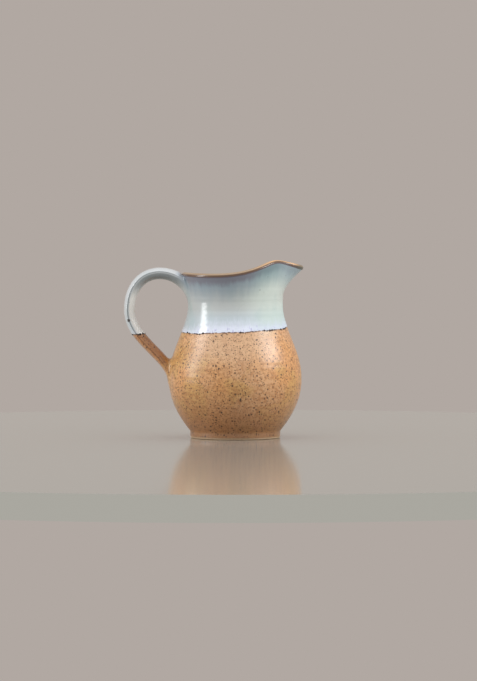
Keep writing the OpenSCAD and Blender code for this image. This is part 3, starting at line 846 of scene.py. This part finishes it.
brown, brown_tree, brown_shader = material("lip_glaze", 0.28, coat=0.35, coat_roughness=0.12)
brown_place = object_place(brown_tree)
brown_along = add(brown_tree, "ShaderNodeSeparateXYZ", Vector=brown_place).outputs[0]
brown_over = field(brown_tree, "over")
brown_cloud = noise(brown_tree, brown_place, 160, 4, 0.6)
# honey glaze on the lip's top, partly a painted highlight, lighter towards the spout
honey_and_painted_highlight = times(brown_tree, ramp(brown_tree, brown_over, 0.22, 0.4), ramp(brown_tree, brown_over, 0.98, 0.7))
honey_and_highlight_tone = blend(brown_tree, ramp(brown_tree, brown_along, 0.012, 0.04), tone(176, 150, 120),
                   tone(238, 188, 134))
brown_low = sums(brown_tree, "MULTIPLY_ADD", brown_cloud, 0.12, brown_over)
brown_base = lay(
    brown_tree, tone(84, 64, 52),
    (brown_cloud, tone(118, 90, 70)),
    (times(brown_tree, honey_and_painted_highlight, 0.85), honey_and_highlight_tone),
    (ramp(brown_tree, brown_low, 0.17, 0.07), tone(104, 98, 110)),
    (ramp(brown_tree, brown_along, 0.053, 0.061, 0, 0.8), tone(88, 90, 80)))
surface(brown_tree, brown_shader, brown_base, 0.15, 0.0004, brown_cloud)

band_share = np.linspace(0, 1, BAND_ROWS + 1)[:-1]
lip_z = band_z(circle) + BAND * band_share
lip_over = np.linspace(0, np.pi, OVER_ROWS)
lip_back = np.linspace(np.pi, 0, BACK_ROWS)
lip_rows = np.concatenate([
    wall(circle, lip_z, 0.0),
    lip(circle, lip_over, LIP_R),
    wall(circle, lip_z[:, ::-1], LINER_IN),
    wall(circle, lip_z[:, :1], CLAY_IN),
    lip(circle, lip_back, WALL_T / 2),
    wall(circle, lip_z[:, :1], CLAY_OUT),
], axis=1)
seen_rows = 2 * BAND_ROWS + OVER_ROWS
hidden_rows = BACK_ROWS + 2
over_share = np.concatenate([np.zeros(BAND_ROWS), lip_over / np.pi, np.ones(BAND_ROWS),
                             np.full(hidden_rows, 0.5)])
from_band = BAND * np.concatenate([band_share, np.ones(OVER_ROWS), band_share[::-1],
                                   np.ones(hidden_rows)])
lip_coat = skin("lip_coat", lip_rows, sharp=[0, seen_rows - 1, seen_rows, seen_rows + hidden_rows - 1],
                values={"over": over_share, "lip": from_band})
lip_coat.data.materials.append(brown)
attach(lip_coat, "root")
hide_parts("lip_glaze")

# The handle's coats: tan to where the jug was dipped, then pale up to the lip. Both break dark along
# the strap's two crisp edges. The pale one carries a painted highlight on the domed back, painted
# light low on the strap's side and painted shade on the side at the top of the arch.
SUNK = 0.12
EDGE_WIDE = 0.8
SIDE_BELOW, SIDE_FADE = 0.6, 1.2
FAR_ABOVE_DIP = 40.0
FREE_OF_WALL = 8
POOL_Z, POOL_TALL = 138, 12
LIP_FADE = 2.5
EDGE_LEAN = 0.3
JOINT_ROWS = 13

section = strap(0.4, GLAZE_T)
corners = [np.argmax(section[:, 0] + EDGE_LEAN * section[:, 1]),
           np.argmin(section[:, 0] - EDGE_LEAN * section[:, 1])]
strand_edge = np.zeros(STRANDS)
for corner in corners:
    far = np.linalg.norm(section - section[corner], axis=1)
    strand_edge = np.maximum(strand_edge, np.exp(-(far / EDGE_WIDE) ** 2))
strand_side = np.clip((section[corners[0], 1] - SIDE_BELOW - section[:, 1]) / SIDE_FADE, 0, 1)

arm_dip = arm_glazed[..., 2] - dip_height(arm_glazed[..., 0], arm_glazed[..., 1])
cross = np.zeros(STRANDS)
for i in range(STRANDS):
    below = middle + np.argmax(arm_dip[middle:, i] < 0)
    high, low = arm_dip[below - 1, i], arm_dip[below, i]
    cross[i] = 1 + (below - 1 + high / (high - low) - root_ring[i]) / (tail_ring[i] - root_ring[i])


def arm_coat(name, v, finish, node, is_pale):
    """One coat of the handle over rows v[row, strand], as a closed thin shell."""
    face = arm_surface(v)
    out = arm_normals(face)
    h = face[..., 2] - dip_height(face[..., 0], face[..., 1])
    off = np.maximum(stands_out(face), 0)
    face = face - out * SUNK * ((v <= 0) | (v >= 3))[..., None]
    inner = face - out * GLAZE_T
    if is_pale:
        h = np.where(v < 1.5, FAR_ABOVE_DIP, h)
        face = face + out * fat(h)[..., None]
    a = np.arctan2(face[..., 1], face[..., 0])
    free = np.clip(off / FREE_OF_WALL, 0, 1)
    pooled = 0.3 + 0.7 * np.clip((face[..., 2] - POOL_Z) / POOL_TALL, 0, 1)
    pooled = pooled * np.sin(np.pi * np.clip(v, 0, 1)) ** 2
    rows = np.concatenate([face, inner[::-1]])
    values = {"dip": h, "edge": strand_edge * free, "side": strand_side * free, "strap": free,
              "lip": band_z(a) - face[..., 2] + off * LIP_FADE, "pool": pooled}
    piece = skin(name, np.swapaxes(rows, 0, 1)[::-1],
                 sharp=[0, len(face) - 1, len(face), len(rows) - 1],
                 values={key: np.concatenate([f, f[::-1]]).T[::-1] for key, f in values.items()})
    piece.data.materials.append(finish)
    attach(piece, "root")
    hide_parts(node)


root_rows = np.repeat(np.linspace(0, 1, JOINT_ROWS + 1)[:-1, None], STRANDS, 1)
tail_rows = np.repeat(np.linspace(2, 3, JOINT_ROWS + 1)[1:, None], STRANDS, 1)
fine = np.geomspace(0.0015, 0.06, 14)
pale_share = np.concatenate([np.linspace(0, 0.93, 110), 1 - fine[::-1], [1]])[:, None]
tan_share = np.concatenate([[0], np.geomspace(0.004, 0.06, 8), np.linspace(0.08, 1, 60)])[:, None]
arm_coat("handle_neck_coat", np.concatenate([root_rows, 1 + (cross - 1) * pale_share]), pale,
         "handle_neck_glaze", True)
arm_coat("handle_belly_coat", np.concatenate([cross + (2 - cross) * tan_share, tail_rows]), tan,
         "handle_belly_glaze", False)

# The iron beads: where the two glazes meet, iron from the clay boiled up in the fire and froze along
# the line as small black beads, in bunches, half sunk in the coat.
BEADING = {"Spacing": 1.3 * MM, "Smallest": 0.28 * MM, "Largest": 1.15 * MM, "Flatness": 0.42,
           "Scatter": 0.45 * MM, "Bare": 0.52, "Seed": 11}

iron, iron_tree, iron_shader = material("burnt_iron", 0.5)
iron_cloud = noise(iron_tree, object_place(iron_tree), 1600, 3, 0.6)
iron_base = blend(iron_tree, ramp(iron_tree, iron_cloud, 0.35, 0.65), tone(34, 30, 30), tone(66, 50, 40))
surface(iron_tree, iron_shader, iron_base, 0.3, 0.0001, iron_cloud)

beading, beading_in, beading_out = new_group(
    "iron_beads",
    [("Line", "NodeSocketGeometry", None), ("Spacing", "NodeSocketFloat", MM),
     ("Smallest", "NodeSocketFloat", MM), ("Largest", "NodeSocketFloat", MM),
     ("Flatness", "NodeSocketFloat", 1.0), ("Scatter", "NodeSocketFloat", MM),
     ("Bare", "NodeSocketFloat", 0.5), ("Seed", "NodeSocketInt", 1)],
    [("Beads", "NodeSocketGeometry")], "GeometryNodeTree")
bead_line = add(beading, "GeometryNodeMeshToCurve", Mesh=beading_in["Line"]).outputs[0]
bead_line = add(beading, "GeometryNodeResampleCurve", mode="LENGTH", Curve=bead_line,
                Length=beading_in["Spacing"]).outputs[0]
bead_stray = add(beading, "FunctionNodeRandomValue", data_type="FLOAT_VECTOR", i0=(-1, -1, -1),
                 i1=(1, 1, 1), Seed=beading_in["Seed"]).outputs[0]
bead_stray = add(beading, "ShaderNodeVectorMath", operation="SCALE", i0=bead_stray,
                 Scale=beading_in["Scatter"]).outputs[0]
bead_line = add(beading, "GeometryNodeSetPosition", Geometry=bead_line, Offset=bead_stray).outputs[0]
bead_bunch = noise(beading, beading.nodes.new("GeometryNodeInputPosition").outputs[0], 75.0, 2.0)
bead_bunch = add(beading, "FunctionNodeCompare", operation="GREATER_THAN", i0=bead_bunch,
                 i1=beading_in["Bare"]).outputs[0]
bead_chance = add(beading, "FunctionNodeRandomValue", data_type="FLOAT", Seed=beading_in["Seed"]).outputs[1]
bead_span = sums(beading, "SUBTRACT", beading_in["Largest"], beading_in["Smallest"])
bead_size = sums(beading, "MULTIPLY_ADD", sums(beading, "POWER", bead_chance, 1.6), bead_span,
                 beading_in["Smallest"])
bead_high = times(beading, bead_size, beading_in["Flatness"])
bead_scale = add(beading, "ShaderNodeCombineXYZ", X=bead_size, Y=bead_size, Z=bead_high).outputs[0]
bead_out = add(beading, "GeometryNodeInputNamedAttribute", data_type="FLOAT_VECTOR", Name="out").outputs[0]
bead_turn = add(beading, "FunctionNodeAlignRotationToVector", axis="Z", Vector=bead_out).outputs[0]
bead_ball = add(beading, "GeometryNodeMeshIcoSphere", Radius=1.0, Subdivisions=2).outputs[0]
bead_balls = add(beading, "GeometryNodeInstanceOnPoints", Points=bead_line, Selection=bead_bunch,
                 Instance=bead_ball, Rotation=bead_turn, Scale=bead_scale).outputs[0]
bead_balls = add(beading, "GeometryNodeRealizeInstances", Geometry=bead_balls).outputs[0]
bead_balls = add(beading, "GeometryNodeSetShadeSmooth", Geometry=bead_balls).outputs[0]
bead_balls = add(beading, "GeometryNodeSetMaterial", Geometry=bead_balls, Material=iron).outputs[0]
beading.links.new(bead_balls, beading_out["Beads"])

steep = (round_radius(line_z + 0.1) - round_radius(line_z - 0.1)) / 0.2
round_out = ring_point(circle, np.ones_like(circle), -steep)[:, 0]
round_out = round_out / np.linalg.norm(round_out, axis=1, keepdims=True)
cross_rows = arm_surface(cross + np.linspace(-0.02, 0.02, 5)[:, None])
arm_ring, arm_out_way = cross_rows[2], arm_normals(cross_rows)[2]
line_points, line_out, line_edges = [], [], []
for ring, out in ((wall(circle, line_z, 0.0)[:, 0], round_out), (arm_ring, arm_out_way)):
    first = len(line_points)
    line_points += (ring * MM).tolist()
    line_out += out.ravel().tolist()
    line_edges += [(first + i, first + (i + 1) % len(ring)) for i in range(len(ring))]
line_mesh = bpy.data.meshes.new("bead_line")
line_mesh.from_pydata(line_points, line_edges, [])
line_mesh.attributes.new("out", "FLOAT_VECTOR", "POINT").data.foreach_set("vector", line_out)
iron_line = bpy.data.objects.new("bead_line", line_mesh)
bpy.context.scene.collection.objects.link(iron_line)
grow = iron_line.modifiers.new("iron_beads", "NODES")
grow.node_group = beading
for socket in beading.interface.items_tree:
    if socket.name in BEADING:
        grow[socket.identifier] = BEADING[socket.name]
grown = iron_line.evaluated_get(bpy.context.evaluated_depsgraph_get())
iron_beads = bpy.data.objects.new("iron_beads", bpy.data.meshes.new_from_object(grown))
iron_beads.data.materials.clear()
iron_beads.data.materials.append(iron)
iron_beads.data.polygons.foreach_set("material_index", [0] * len(iron_beads.data.polygons))
bpy.context.scene.collection.objects.link(iron_beads)
iron_line.modifiers.remove(grow)
bpy.data.objects.remove(iron_line)
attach(iron_beads, "root")

# The set: a plain pale table, a plain pale room round it, a tall soft light at the left, a low wide
# one at the right, a weak one overhead, and the camera on the photograph's line of sight.
TABLE_R, TABLE_T = 0.58, 0.02
TABLE_Y = -0.08
TABLE_SIDES = 128
JUG_MIDDLE = (0, 0, 0.09)
ROOM_FILL = 0.87
EYE = (0.003, -2.7, 0.166)
EYE_DOWN = math.radians(1.6)
LENS_MM, FILM_MM = 153, 36

turns = np.linspace(0, 2 * np.pi, TABLE_SIDES, endpoint=False)
table_top = [(TABLE_R * math.cos(q), TABLE_Y + TABLE_R * math.sin(q), 0) for q in turns]
table_low = [(x, y, -TABLE_T) for x, y, _ in table_top]
table_faces = [list(range(TABLE_SIDES)), list(range(2 * TABLE_SIDES - 1, TABLE_SIDES - 1, -1))]
for i in range(TABLE_SIDES):
    after = (i + 1) % TABLE_SIDES
    table_faces.append((i, i + TABLE_SIDES, after + TABLE_SIDES, after))
table_mesh = bpy.data.meshes.new("table")
table_mesh.from_pydata(table_top + table_low, [], table_faces)
table = bpy.data.objects.new("table", table_mesh)
bpy.context.scene.collection.objects.link(table)
table_top_finish, _, table_shader = material("table_top", 0.1)
table_shader.inputs["Base Color"].default_value = tone(184, 182, 172)
table_shader.inputs["Specular IOR Level"].default_value = 0.25
table_mesh.materials.append(table_top_finish)

# the side boxes light the jug and not the table, as if flagged off it, so the table shows no glare
flagged = bpy.data.collections.new("flagged_off")
flagged.objects.link(table)
flagged.collection_objects[0].light_linking.link_state = "EXCLUDE"


def soft_light(name, at, wide, high, power, on_table=False):
    """A rectangular soft box that faces the middle of the jug."""
    lamp = bpy.data.lights.new(name, "AREA")
    lamp.shape = "RECTANGLE"
    lamp.size, lamp.size_y = wide, high
    lamp.energy = power
    holder = bpy.data.objects.new(name, lamp)
    holder.location = at
    holder.rotation_euler = (Vector(JUG_MIDDLE) - Vector(at)).to_track_quat("-Z", "Y").to_euler()
    if not on_table:
        holder.light_linking.receiver_collection = flagged
    bpy.context.scene.collection.objects.link(holder)


soft_light("left_box", (-1.28, -0.22, 0.58), wide=0.36, high=1.0, power=8.4)
soft_light("right_box", (1.03, -0.3, 0.66), wide=0.7, high=0.4, power=7.3)
soft_light("top_box", (0.0, 0.1, 1.9), wide=1.4, high=1.2, power=4, on_table=True)

room = bpy.context.scene.world or bpy.data.worlds.new("room")
bpy.context.scene.world = room
room.use_nodes = True
room_tree = room.node_tree
fill = room_tree.nodes["Background"]
fill.inputs[0].default_value = tone(250, 250, 252)
fill.inputs[1].default_value = ROOM_FILL
seen = add(room_tree, "ShaderNodeBackground", Color=tone(177, 168, 162), Strength=1.0)
ray = room_tree.nodes.new("ShaderNodeLightPath").outputs
looked_at = sums(room_tree, "MAXIMUM", ray["Is Camera Ray"], ray["Is Transmission Ray"])
looked_at = sums(room_tree, "MAXIMUM", looked_at, ray["Is Glossy Ray"])
room_mix = add(room_tree, "ShaderNodeMixShader", i0=looked_at, i1=fill.outputs[0], i2=seen.outputs[0])
room_tree.links.new(room_mix.outputs[0], room_tree.nodes["World Output"].inputs[0])

lens = bpy.data.cameras.new("camera")
lens.lens = LENS_MM
lens.sensor_width = FILM_MM
camera = bpy.data.objects.new("camera", lens)
camera.location = EYE
camera.rotation_euler = (math.pi / 2 - EYE_DOWN, 0, 0)
bpy.context.scene.collection.objects.link(camera)
bpy.context.scene.camera = camera
bpy.context.scene.view_settings.view_transform = "Standard"
